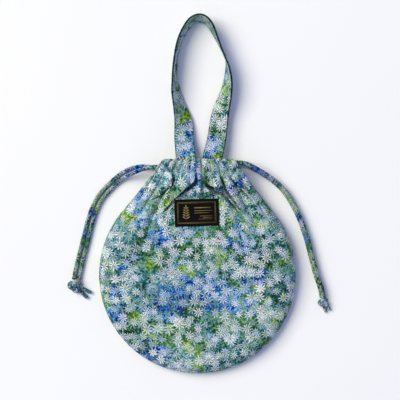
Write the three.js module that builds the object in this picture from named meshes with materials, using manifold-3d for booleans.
// A cotton kinchaku pouch, lying flat: two gathered cloth panels, a label, a strap handle and two drawstrings.
// Millimetres. The back panel lies on z = 0, +Y points from the foot of the bag to its handle, and +Z is up.
import * as THREE from "three";
import { mergeVertices } from "three/addons/utils/BufferGeometryUtils.js";
import Module from "manifold-3d";

const wasm = await Module();
wasm.setup();

// Cloth and the play between pieces
const CLOTH = 0.9;
const PLAY = 0.4;
const SEAM_GAP = 0.3;

// Body: a round bag with straight shoulders up to the mouth
const BODY_RADIUS = 128;
const BODY_CENTRE_Y = -105;
const BODY_HEIGHT = 26;
const BODY_SAG = 6;
const SEAM_HEIGHT = 8;
const EDGE_ROUND = 24;
const PATCH_CORNER = THREE.MathUtils.degToRad(30);

// Mouth: the casing that the drawstrings gather
const MOUTH_X = 1.3;
const MOUTH_TOP = 45.5;
const CASING_DEPTH = 17.5;
const STITCH_HALF = 57;
const MOUTH_BLEND = 32;

// Drawstrings
const CORD = 5.6;
const LANE_TOP = 5;
const LANE_PITCH = CORD + SEAM_GAP;
const CORD_SIDES = 8;
const CORD_STEPS = 70;

// Gathers: where the creases between the pleats lie along the mouth, from -1 at its left end to 1 at its right, and how
// deep each is
const CREASES = [-1.14, -0.93, -0.76, -0.58, -0.42, -0.19, -0.03, 0.08, 0.3, 0.49, 0.7, 0.88, 1.1];
const CREASE_DEPTHS = [1, 0.8, 1, 1.4, 0.6, 1.3, 1.3, 1.3, 0.6, 1.2, 1.2, 0.9, 1];
const PLEAT_ROUND = 0.55;
const CASING_GATHER = 3.2;
const FRONT_GATHER = 5;
const BACK_GATHER = 2;
const HEM_GATHER = 0.6;
const BACK_BLOOM = 1.7;
const BLOOM_REACH = 14;
const GATHER_FADE = 70;

// Mesh: shares of each pleat at which the cloth has a column, and rows of the body
const FRONT_MESH = { shares: [0.14, 0.36, 0.64, 0.86], rows: 23 };
const BACK_MESH = { shares: [0.5], rows: 8 };

// Handle strap: printed cloth on both faces of a webbing
const STRAP_WIDTH = 24;
const WEBBING_WIDTH = 25.4;
const STRAP_CLOTH = 0.8;
const WEBBING = 1.6;
const STRAP_STEPS = 50;
const HANDLE_RISE = 182.4;
const HANDLE_REACH = 40;
const EDGE_LIFT = 0.9;

// Label
const LABEL = { x: -1, y: -24, width: 57, height: 35, thickness: 0.8, turn: THREE.MathUtils.degToRad(1.8) };
const LABEL_MARGIN = 7;
const LABEL_FADE = 9;

// Heights through the mouth, from the table up
const CORD_ROOM = CORD / 2 + PLAY + CLOTH;
const CASING_CROWN = 0.2;
const BACK_LANE_Z = BACK_GATHER + CORD_ROOM + CASING_CROWN;
const STRAP_THICKNESS = 2 * STRAP_CLOTH + WEBBING + 2 * SEAM_GAP;
const MOUTH_OPENING = 9;
const FRONT_HEM_Z = BACK_LANE_Z + CORD_ROOM + HEM_GATHER + MOUTH_OPENING;
const FRONT_LANE_Z = FRONT_HEM_Z + HEM_GATHER + CORD_ROOM;
const FOOT_Z = FRONT_HEM_Z - PLAY - STRAP_THICKNESS / 2;
const STITCH_Z = 1.4;
const FRONT_STITCH_Z = 2.6;

// Tucks of the front panel below the gathers. The cloth on the right of the line, on the way along it, stands lift over
// the panel, and the cloth on its left falls by dip. The first two make the upside-down V over the label.
const TUCKS = [
  { line: [[-2, 30], [-8, 17], [-18, 6], [-31, -6], [-49, -29]], lift: 4, dip: 6, width: 8 },
  { line: [[62, -28], [46, -10], [31, 6], [15, 13], [3, 27]], lift: 4.4, dip: 7.5, width: 8 },
  { line: [[-28, 30], [-34, 14], [-45, 3], [-66, -12]], lift: 2.6, dip: 5, width: 9 },
  { line: [[66, -22], [52, -4], [40, 9], [30, 24]], lift: 2.2, dip: 3.6, width: 7 },
  { line: [[76, -6], [60, 8], [44, 24]], lift: 1.4, dip: 2.4, width: 7 },
];
const TUCK_STEP = 3;

// Rolls and hollows of the front panel: the line of each, how high it stands, and how wide it is
const ROLLS = [
  { line: [[-60, -12], [-71, -28], [-80, -55], [-88, -88]], rise: 2.6, width: 11 },
  { line: [[-48, -22], [-56, -42], [-62, -75]], rise: -2.2, width: 11 },
  { line: [[3, 24], [3.5, 12], [3, -6]], rise: 3.4, width: 4.5 },
  { line: [[0, 26], [-7, 12], [-22, -2]], rise: -5, width: 5.5 },
  { line: [[5, 24], [13, 9], [33, 0]], rise: -6, width: 6 },
];

// Route of each pair of drawstring ends in plan, from the casing to the knot
const LEFT_ROUTE = [
  [-52, 35], [-60, 34.6], [-76, 33], [-96, 25], [-114, 10], [-127, -5], [-135, -21],
  [-140, -36], [-144, -52], [-148, -68], [-152, -83], [-155.5, -99], [-158, -112],
];
const RIGHT_ROUTE = [
  [53, 40.5], [62, 39.2], [76, 32], [92, 22.5], [104, 13], [114, 2.5], [124, -13], [132, -29],
  [138, -45], [143, -60], [147, -75.5], [151, -91], [155.5, -107], [160.5, -122], [163, -135],
];
const CORD_DROP = 62;
const PAIR_OPEN = 34;

// Shared helpers
const clamp01 = (t) => Math.min(1, Math.max(0, t));
const smooth = (t) => clamp01(t) ** 2 * (3 - 2 * clamp01(t));
const mix = (a, b, t) => a + (b - a) * t;
const polar = (angle) => new THREE.Vector2(
  BODY_RADIUS * Math.cos(angle),
  BODY_CENTRE_Y + BODY_RADIUS * Math.sin(angle),
);

// Outline of the bag: a straight shoulder from the casing, which runs into the round of the body
const STITCH_Y = MOUTH_TOP - CASING_DEPTH;

function shoulder(side) {
  const start = new THREE.Vector2(MOUTH_X + side * STITCH_HALF, STITCH_Y);
  const rise = start.y - BODY_CENTRE_Y;
  const away = Math.hypot(start.x, rise);
  const touch = Math.atan2(rise, start.x) - side * Math.acos(BODY_RADIUS / away);
  const corner = side > 0 ? -PATCH_CORNER : Math.PI + PATCH_CORNER;
  return { start, touch, corner, straight: Math.sqrt(away ** 2 - BODY_RADIUS ** 2) };
}

const SHOULDERS = { left: shoulder(-1), right: shoulder(1) };

function sideRim({ start, touch, corner, straight }, share) {
  const round = Math.abs(corner - touch) * BODY_RADIUS;
  const along = share * (straight + round);
  if (along < straight) return start.clone().lerp(polar(touch), along / straight);
  return polar(mix(touch, corner, (along - straight) / round));
}

const lowerRim = (share) => polar(mix(SHOULDERS.left.corner, 2 * Math.PI + SHOULDERS.right.corner, share));

function rimDistance(x, y) {
  const dx = x;
  const dy = y - BODY_CENTRE_Y;
  const { touch } = x < 0 ? SHOULDERS.left : SHOULDERS.right;
  const angle = Math.atan2(dy, dx);
  const onShoulder = x < 0 ? angle > 0 && angle < touch : angle > touch;
  if (onShoulder) return BODY_RADIUS - (dx * Math.cos(touch) + dy * Math.sin(touch));
  return BODY_RADIUS - Math.hypot(dx, dy);
}

// Point of the body in plan: u runs from -1 at the left seam to 1 at the right, v from the casing stitch to the lower rim
function bodyPlan(u, v) {
  const s = (u + 1) / 2;
  const top = new THREE.Vector2(MOUTH_X + u * STITCH_HALF, STITCH_Y);
  const left = sideRim(SHOULDERS.left, v);
  const right = sideRim(SHOULDERS.right, v);
  const corners = [SHOULDERS.left.start, SHOULDERS.right.start, lowerRim(0), lowerRim(1)];
  const edges = top.multiplyScalar(1 - v).addScaledVector(lowerRim(s), v)
    .addScaledVector(left, 1 - s).addScaledVector(right, s);
  return edges.addScaledVector(corners[0], -(1 - s) * (1 - v)).addScaledVector(corners[1], -s * (1 - v))
    .addScaledVector(corners[2], -(1 - s) * v).addScaledVector(corners[3], -s * v);
}

// Pleats: 1 on the round of a pleat, and 0 or less in the crease at each side of it
function pleat(u) {
  const last = CREASES.length - 2;
  const i = Math.max(0, Math.min(last, CREASES.findIndex((crease) => crease > u) - 1));
  const phase = clamp01((u - CREASES[i]) / (CREASES[i + 1] - CREASES[i]));
  const depth = mix(CREASE_DEPTHS[i], CREASE_DEPTHS[i + 1], phase);
  return 1 - depth * (1 - Math.sin(Math.PI * phase) ** PLEAT_ROUND);
}

// Columns of a panel's mesh: one in each crease, and the rest at the given shares of each pleat
function meshColumns(shares) {
  const columns = [-1, 1];
  for (let i = 0; i + 1 < CREASES.length; i += 1) {
    for (const share of [0, ...shares]) columns.push(mix(CREASES[i], CREASES[i + 1], share));
  }
  return columns.filter((u) => Math.abs(u) <= 1).sort((a, b) => a - b);
}

function frontGather(u, below) {
  const bloom = mix(0.35, 1, smooth(below / BLOOM_REACH));
  const fade = Math.exp(-((below / GATHER_FADE) ** 2));
  return bloom * fade * FRONT_GATHER * (pleat(u) - 0.4);
}

// Nearest point of a fold's line: how far it is, on which side, and how near the ends of the line
function nearLine(line, x, y) {
  let best = { distance: Infinity, side: 0, share: 0 };
  for (let i = 0; i + 1 < line.length; i += 1) {
    const [ax, ay] = line[i];
    const [bx, by] = line[i + 1];
    const t = clamp01(((x - ax) * (bx - ax) + (y - ay) * (by - ay)) / ((bx - ax) ** 2 + (by - ay) ** 2));
    const distance = Math.hypot(x - mix(ax, bx, t), y - mix(ay, by, t));
    const side = Math.sign((bx - ax) * (y - ay) - (by - ay) * (x - ax));
    if (distance < best.distance) best = { distance, side, share: (i + t) / (line.length - 1) };
  }
  return best;
}

function foldHeight(x, y) {
  let height = 0;
  for (const { line, lift, dip, width } of TUCKS) {
    const { distance, side, share } = nearLine(line, x, y);
    const taper = smooth(3.2 * share) * smooth(3.2 * (1 - share));
    const raised = smooth((TUCK_STEP - side * distance) / (2 * TUCK_STEP));
    height += taper * mix(-dip * Math.exp(-((distance / (0.75 * width)) ** 2)),
      lift * Math.exp(-((distance / width) ** 2)), raised);
  }
  for (const { line, rise, width } of ROLLS) {
    const { distance, share } = nearLine(line, x, y);
    const taper = smooth(3 * share) * smooth(3 * (1 - share));
    height += taper * rise * Math.exp(-((distance / width) ** 2));
  }
  return height;
}

// The label's stiffness keeps the cloth under it flat
function labelHold(x, y) {
  const cos = Math.cos(LABEL.turn);
  const sin = Math.sin(LABEL.turn);
  const along = Math.abs((x - LABEL.x) * cos + (y - LABEL.y) * sin) - LABEL.width / 2 - LABEL_MARGIN;
  const up = Math.abs((y - LABEL.y) * cos - (x - LABEL.x) * sin) - LABEL.height / 2 - LABEL_MARGIN;
  return 1 - smooth(Math.max(along, up) / LABEL_FADE);
}

const roundEdge = (distance) => Math.sqrt(1 - (1 - clamp01(distance / EDGE_ROUND)) ** 2);

function frontHeight(u, x, y) {
  const below = STITCH_Y - y;
  const sag = BODY_SAG * smooth((LABEL.y - LABEL.height - y) / BODY_RADIUS);
  const rise = mix(FRONT_LANE_Z + FRONT_STITCH_Z, BODY_HEIGHT, smooth(below / BLOOM_REACH));
  const loose = rise - sag + frontGather(u, below) + foldHeight(x, y) * smooth(below / 6);
  const top = mix(loose, BODY_HEIGHT, labelHold(x, y));
  const seam = SEAM_HEIGHT + SEAM_GAP / 2;
  return mix(top, seam + (top - seam) * roundEdge(rimDistance(x, y)), smooth(below / MOUTH_BLEND));
}

function backHeight(u, x, y) {
  const below = STITCH_Y - y;
  const rise = mix(BACK_LANE_Z - STITCH_Z, BACK_GATHER * BACK_BLOOM, smooth(below / BLOOM_REACH));
  const fade = 1 - smooth(below / GATHER_FADE);
  const top = rise * fade * (1 - 0.9 * Math.max(0, pleat(-u)) * smooth(below / BLOOM_REACH));
  const seam = SEAM_HEIGHT - SEAM_GAP / 2;
  return mix(top, seam + (top - seam) * roundEdge(rimDistance(x, y)), smooth(below / MOUTH_BLEND));
}

// Casing in section, from the hem's edge inside, over the top fold and down to the stitch line.
// down is the way below the top edge, out the height over the cord lanes, half the half width of that row.
const OUT = CORD_ROOM;
const HEM_HALF = 34.5;
const CASING = [
  { down: 17.2, out: -STITCH_Z, half: HEM_HALF, gather: 0 },
  { down: 14.2, out: -OUT, half: HEM_HALF, gather: -HEM_GATHER },
  { down: 8.6, out: -OUT, half: HEM_HALF, gather: -HEM_GATHER },
  { down: 3, out: 0.2 - OUT, half: HEM_HALF, gather: -HEM_GATHER / 2 },
  { down: 0.7, out: -0.5 * OUT, half: 41.5, gather: 0 },
  { down: 0, out: 0, half: 43, gather: 0 },
  { down: 0.9, out: 0.66 * OUT, half: 44.5, gather: 0.3 },
  { down: 3.4, out: OUT, half: 47.5, gather: 0.8 },
  { down: 8, out: OUT + CASING_CROWN, half: 51, gather: 1 },
  { down: 12.8, out: OUT, half: 54.5, gather: 0.9 },
];
const SCALLOP = 0.7;

// One cloth panel: a grid of points on its printed side, row by row, given its thickness
function casingRow(row, lane, gather, up) {
  const inside = row.gather < 0;
  return (u) => {
    const wave = pleat(up * u);
    const crowd = row.gather * clamp01(wave) * (inside ? 1 : gather);
    const scallop = SCALLOP * (1 - clamp01(wave)) * smooth(1 - row.down / 4);
    return new THREE.Vector3(MOUTH_X + u * row.half, MOUTH_TOP - row.down - scallop, lane + up * (row.out + crowd));
  };
}

function panelGrid({ lane, gather, height, up, mesh }) {
  const rows = CASING.map((row) => casingRow(row, lane, gather, up));
  for (let j = 0; j <= mesh.rows; j += 1) {
    const v = 1 - (1 - (j / mesh.rows) ** 1.35) ** 1.5;
    rows.push((u) => {
      const plan = bodyPlan(u, v);
      return new THREE.Vector3(plan.x, plan.y, height(u, plan.x, plan.y));
    });
  }
  return rows.map((row) => meshColumns(mesh.shares).map(row));
}

function gridNormals(grid, up) {
  const last = grid.length - 1;
  return grid.map((row, j) => row.map((_, i) => {
    const edge = row.length - 1;
    const along = grid[j][Math.min(i + 1, edge)].clone().sub(grid[j][Math.max(i - 1, 0)]);
    const down = grid[Math.min(j + 1, last)][i].clone().sub(grid[Math.max(j - 1, 0)][i]);
    const normal = down.cross(along).multiplyScalar(up);
    const onSeam = j === last || i === 0 || i === edge;
    if (onSeam && j >= CASING.length) normal.z *= 1 - smooth((STITCH_Y - grid[j][i].y) / MOUTH_BLEND);
    return normal.normalize();
  }));
}

function solidGeometry(points, triangles) {
  const geometry = new THREE.BufferGeometry();
  geometry.setAttribute("position", new THREE.Float32BufferAttribute(points.flatMap((p) => [p.x, p.y, p.z]), 3));
  geometry.setIndex(triangles);
  geometry.computeVertexNormals();
  return geometry;
}

function clothPanel(panel) {
  const { up } = panel;
  const grid = panelGrid(panel);
  const normals = gridNormals(grid, up);
  const columns = grid[0].length - 1;
  const printed = grid.flat();
  const lining = grid.flatMap((row, j) => row.map((p, i) => p.clone().addScaledVector(normals[j][i], -CLOTH)));
  const wide = columns + 1;
  const back = printed.length;
  const triangles = [];
  const quad = (a, b, c, d) => (up > 0 ? triangles.push(a, b, c, a, c, d) : triangles.push(a, c, b, a, d, c));
  for (let j = 0; j + 1 < grid.length; j += 1) {
    for (let i = 0; i < columns; i += 1) {
      const a = j * wide + i;
      quad(a, a + wide, a + wide + 1, a + 1);
      quad(back + a, back + a + 1, back + a + wide + 1, back + a + wide);
    }
    const left = j * wide;
    const right = left + columns;
    quad(left, back + left, back + left + wide, left + wide);
    quad(right, right + wide, back + right + wide, back + right);
  }
  const foot = (grid.length - 1) * wide;
  for (let i = 0; i < columns; i += 1) {
    quad(i, i + 1, back + i + 1, back + i);
    quad(foot + i, back + foot + i, back + foot + i + 1, foot + i + 1);
  }
  return solidGeometry([...printed, ...lining], triangles);
}

// Label: a flat woven rectangle
function labelGeometry() {
  return new THREE.BoxGeometry(LABEL.width, LABEL.height, LABEL.thickness);
}

// Strap: stations along its middle, as shares of the handle's reach to the side and of its rise over the mouth.
// turn is how far the strap has turned on edge, and lift how high its inner edge is over the table.
const STRAP_STATIONS = [
  { across: -0.35, rise: -0.09, turn: 0, lift: FOOT_Z },
  { across: -0.38, rise: 0.005, turn: 0, lift: FOOT_Z },
  { across: -0.43, rise: 0.13, turn: 6, lift: 9 },
  { across: -0.46, rise: 0.27, turn: 26, lift: 3.5 },
  { across: -0.55, rise: 0.35, turn: 46, lift: 1.2 },
  { across: -0.63, rise: 0.42, turn: 57, lift: EDGE_LIFT },
  { across: -0.7, rise: 0.49, turn: 66, lift: EDGE_LIFT },
  { across: -0.73, rise: 0.56, turn: 75, lift: EDGE_LIFT },
  { across: -0.71, rise: 0.7, turn: 82, lift: EDGE_LIFT },
  { across: -0.63, rise: 0.8, turn: 82, lift: EDGE_LIFT },
  { across: -0.53, rise: 0.865, turn: 80, lift: EDGE_LIFT },
  { across: -0.36, rise: 0.935, turn: 77, lift: EDGE_LIFT },
  { across: -0.18, rise: 0.98, turn: 75, lift: EDGE_LIFT },
  { across: 0.05, rise: 1, turn: 74, lift: EDGE_LIFT },
  { across: 0.27, rise: 0.985, turn: 76, lift: EDGE_LIFT },
  { across: 0.45, rise: 0.94, turn: 80, lift: EDGE_LIFT },
  { across: 0.6, rise: 0.87, turn: 85, lift: EDGE_LIFT },
  { across: 0.76, rise: 0.795, turn: 92, lift: EDGE_LIFT },
  { across: 0.92, rise: 0.71, turn: 93, lift: EDGE_LIFT },
  { across: 0.99, rise: 0.63, turn: 80, lift: EDGE_LIFT },
  { across: 0.99, rise: 0.56, turn: 68, lift: EDGE_LIFT },
  { across: 0.95, rise: 0.49, turn: 58, lift: EDGE_LIFT },
  { across: 0.87, rise: 0.42, turn: 46, lift: 1.2 },
  { across: 0.77, rise: 0.35, turn: 32, lift: 2.6 },
  { across: 0.7, rise: 0.27, turn: 24, lift: 4.5 },
  { across: 0.61, rise: 0.13, turn: 14, lift: 9 },
  { across: 0.48, rise: 0.005, turn: 0, lift: FOOT_Z },
  { across: 0.42, rise: -0.09, turn: 0, lift: FOOT_Z },
];

function strapFrames() {
  const half = WEBBING_WIDTH / 2;
  const middle = STRAP_STATIONS.map(({ across, rise, turn, lift }) => new THREE.Vector3(
    across * HANDLE_REACH,
    MOUTH_TOP + rise * HANDLE_RISE,
    lift + half * Math.sin(THREE.MathUtils.degToRad(turn)),
  ));
  const turns = STRAP_STATIONS.map(({ turn }) => new THREE.Vector3(THREE.MathUtils.degToRad(turn), 0, 0));
  const path = new THREE.CatmullRomCurve3(middle, false, "centripetal");
  const rolls = new THREE.CatmullRomCurve3(turns, false, "catmullrom", 0.5);
  return Array.from({ length: STRAP_STEPS + 1 }, (_, k) => {
    const share = path.getUtoTmapping(k / STRAP_STEPS);
    const roll = rolls.getPoint(share).x;
    const along = path.getTangent(share);
    const outward = new THREE.Vector3(-along.y, along.x, 0).normalize();
    const across = outward.multiplyScalar(Math.cos(roll)).add(new THREE.Vector3(0, 0, Math.sin(roll)));
    across.addScaledVector(along, -across.dot(along)).normalize();
    return { at: path.getPoint(share), across, face: along.clone().cross(across) };
  });
}

// A strip swept along the strap: low and high are its faces' distances from the strap's middle
function stripGeometry(frames, width, low, high) {
  const section = [[-1, low], [1, low], [1, high], [-1, high]];
  const points = frames.flatMap(({ at, across, face }) => section.map(([side, level]) => (
    at.clone().addScaledVector(across, (side * width) / 2).addScaledVector(face, level)
  )));
  const triangles = [];
  for (let k = 0; k + 1 < frames.length; k += 1) {
    for (let c = 0; c < section.length; c += 1) {
      const a = k * section.length + c;
      const b = k * section.length + ((c + 1) % section.length);
      const next = section.length;
      if (c === 2) triangles.push(a, b, a + next, b, b + next, a + next);
      else triangles.push(a, b, b + next, a, b + next, a + next);
    }
  }
  const end = points.length - section.length;
  triangles.push(0, 3, 2, 0, 2, 1, end, end + 1, end + 2, end, end + 2, end + 3);
  return solidGeometry(points, triangles);
}

// Drawstrings: one cord each, from its knot into the front casing, round inside the far end, and back through the
// back casing to the knot
const planCurve = (route) => new THREE.CatmullRomCurve3(
  route.map(([x, y]) => new THREE.Vector3(x, y, 0)),
  false,
  "centripetal",
);

function strand(route, offset, exitZ, restZ) {
  const plan = planCurve(route);
  const length = plan.getLength();
  const count = route.length * 2;
  return Array.from({ length: count + 1 }, (_, k) => {
    const share = k / count;
    const at = plan.getPointAt(share);
    const along = plan.getTangentAt(share);
    const open = offset * smooth((share * length) / PAIR_OPEN);
    const z = mix(exitZ, restZ, smooth((share * length) / CORD_DROP));
    return new THREE.Vector3(at.x - along.y * open, at.y + along.x * open, z);
  });
}

const LOOP_X = 36;
const LOOP_STEPS = 6;

function drawstringPath(route, side, laneY, { offsets, rests }) {
  const out = strand(route, offsets[0], FRONT_LANE_Z, rests[0]);
  const home = strand(route, offsets[1], BACK_LANE_Z, rests[1]);
  const middle = (FRONT_LANE_Z + BACK_LANE_Z) / 2;
  const radius = (FRONT_LANE_Z - BACK_LANE_Z) / 2;
  const turn = Array.from({ length: LOOP_STEPS + 1 }, (_, k) => {
    const angle = (Math.PI * k) / LOOP_STEPS;
    return new THREE.Vector3(
      MOUTH_X - side * (LOOP_X + radius * Math.sin(angle)),
      laneY,
      middle + radius * Math.cos(angle),
    );
  });
  const lane = (z) => [0.5, 0, -0.5].map((share) => new THREE.Vector3(MOUTH_X + side * share * LOOP_X, laneY, z));
  return [...out.reverse(), ...lane(FRONT_LANE_Z), ...turn, ...lane(BACK_LANE_Z).reverse(), ...home];
}

function cordGeometry(points) {
  const path = new THREE.CatmullRomCurve3(points, false, "centripetal");
  const ring = Array.from({ length: CORD_SIDES }, (_, k) => {
    const angle = (2 * Math.PI * (k + 0.5)) / CORD_SIDES;
    return new THREE.Vector2((CORD / 2) * Math.cos(angle), (CORD / 2) * Math.sin(angle));
  });
  return new THREE.ExtrudeGeometry(new THREE.Shape(ring), {
    steps: CORD_STEPS,
    extrudePath: path,
    bevelEnabled: false,
  });
}

// Solids of the joined pieces
function toSolid(geometry) {
  const bare = geometry.clone();
  bare.deleteAttribute("normal");
  bare.deleteAttribute("uv");
  const merged = mergeVertices(bare, 1e-4);
  return new wasm.Manifold(new wasm.Mesh({
    numProp: 3,
    vertProperties: new Float32Array(merged.attributes.position.array),
    triVerts: new Uint32Array(merged.index.array),
  }));
}

function fromSolid(solid) {
  const mesh = solid.getMesh();
  const geometry = new THREE.BufferGeometry();
  geometry.setAttribute("position", new THREE.Float32BufferAttribute(Array.from(mesh.vertProperties), 3));
  geometry.setIndex(Array.from(mesh.triVerts));
  geometry.computeVertexNormals();
  return geometry;
}

// Knot: the two cord ends wrapped once round each other, with two short tails that leave below the wrap.
// It is made with the cords coming in along -Y to the origin, then turned to the end of the route.
const KNOT_WRAP = 3;
const WRAP_TILTS = [-0.5, 0.45];

function tubeBetween(points, radius, steps) {
  const ring = Array.from({ length: CORD_SIDES }, (_, k) => {
    const angle = (2 * Math.PI * (k + 0.5)) / CORD_SIDES;
    return new THREE.Vector2(radius * Math.cos(angle), radius * Math.sin(angle));
  });
  const path = new THREE.CatmullRomCurve3(points.map((p) => new THREE.Vector3(...p)));
  return new THREE.ExtrudeGeometry(new THREE.Shape(ring), { steps, extrudePath: path, bevelEnabled: false });
}

function knotGeometry({ size, ends, tailTurn, tailLength }) {
  const reach = 1.75 * size;
  const middle = new THREE.Vector3(0, -reach, 0.68 * (size + KNOT_WRAP) + 0.2);
  const core = new THREE.SphereGeometry(size, 10, 6);
  core.scale(1.15, 1.3, 0.85);
  core.translate(middle.x, middle.y, middle.z);
  let solid = toSolid(core);
  for (const tilt of WRAP_TILTS) {
    const wrap = new THREE.TorusGeometry(size, KNOT_WRAP, 6, 12);
    wrap.rotateX(Math.PI / 2);
    wrap.scale(1.05, 1, 0.68);
    wrap.rotateZ(tilt);
    wrap.translate(middle.x, middle.y + 3 * tilt, middle.z);
    solid = solid.add(toSolid(wrap));
  }
  for (const [x, z] of ends) {
    const neck = tubeBetween([[x, -SEAM_GAP, z], [x, -reach, z]], CORD / 2, 1);
    solid = solid.add(toSolid(neck));
  }
  for (const spread of [-0.16, 0.16]) {
    const turn = tailTurn + spread;
    const out = (length) => [Math.sin(turn) * length, -reach - Math.cos(turn) * length];
    const tail = tubeBetween([
      [...out(0), middle.z],
      [...out(size + KNOT_WRAP), KNOT_WRAP + 1],
      [...out(size + KNOT_WRAP + tailLength), KNOT_WRAP],
    ], 0.95 * KNOT_WRAP, 5);
    solid = solid.add(toSolid(tail));
  }
  return fromSolid(solid);
}

// Materials
const paint = (color, roughness = 0.9) => new THREE.MeshStandardMaterial({ color, roughness, metalness: 0 });
const printed = () => paint(0x6f9aa0);

const pouch = new THREE.Group();

function addPiece(name, geometry, material) {
  const mesh = new THREE.Mesh(geometry, material);
  mesh.name = name;
  pouch.add(mesh);
  return mesh;
}

// Panels and label
const frontPanel = { lane: FRONT_LANE_Z, gather: CASING_GATHER, height: frontHeight, up: 1, mesh: FRONT_MESH };
const backPanel = { lane: BACK_LANE_Z, gather: BACK_GATHER, height: backHeight, up: -1, mesh: BACK_MESH };
addPiece("front_panel", clothPanel(frontPanel), printed());
addPiece("back_panel", clothPanel(backPanel), printed());
const label = addPiece("label", labelGeometry(), paint(0x15151a, 0.7));
label.position.set(LABEL.x, LABEL.y, BODY_HEIGHT + SEAM_GAP + LABEL.thickness / 2);
label.rotation.z = LABEL.turn;

// Handle
const frames = strapFrames();
const webbingFace = WEBBING / 2;
const clothLow = webbingFace + SEAM_GAP;
const clothHigh = clothLow + STRAP_CLOTH;
addPiece("handle_webbing", stripGeometry(frames, WEBBING_WIDTH, -webbingFace, webbingFace), paint(0x10241f));
addPiece("handle_face", stripGeometry(frames, STRAP_WIDTH, clothLow, clothHigh), printed());
addPiece("handle_backing", stripGeometry(frames, STRAP_WIDTH, -clothHigh, -clothLow), printed());

// Drawstrings and knots: the ends of the left pair lie side by side, and those of the right pair on each other
const TABLE_Z = CORD / 2;
const STACK_Z = TABLE_Z + 5.6;
const leftLane = MOUTH_TOP - LANE_TOP - LANE_PITCH;
const rightLane = MOUTH_TOP - LANE_TOP;
const LEFT_PAIR = { offsets: [3.3, -3.3], rests: [TABLE_Z, TABLE_Z] };
const RIGHT_PAIR = { offsets: [1, -1], rests: [STACK_Z, TABLE_Z] };
addPiece("drawstring_left", cordGeometry(drawstringPath(LEFT_ROUTE, -1, leftLane, LEFT_PAIR)), printed());
addPiece("drawstring_right", cordGeometry(drawstringPath(RIGHT_ROUTE, 1, rightLane, RIGHT_PAIR)), printed());

function placeKnot(name, route, { offsets, rests }, shape) {
  const ends = offsets.map((offset, i) => [offset, rests[i]]);
  const knot = addPiece(name, knotGeometry({ ...shape, ends }), printed());
  const heading = planCurve(route).getTangentAt(1);
  knot.position.copy(planCurve(route).getPointAt(1));
  knot.rotation.z = Math.atan2(heading.y, heading.x) + Math.PI / 2;
}

placeKnot("knot_left", LEFT_ROUTE, LEFT_PAIR, { size: 6, tailTurn: 1.2, tailLength: 12 });
placeKnot("knot_right", RIGHT_ROUTE, RIGHT_PAIR, { size: 4.6, tailTurn: 0.3, tailLength: 5 });

export default pouch;
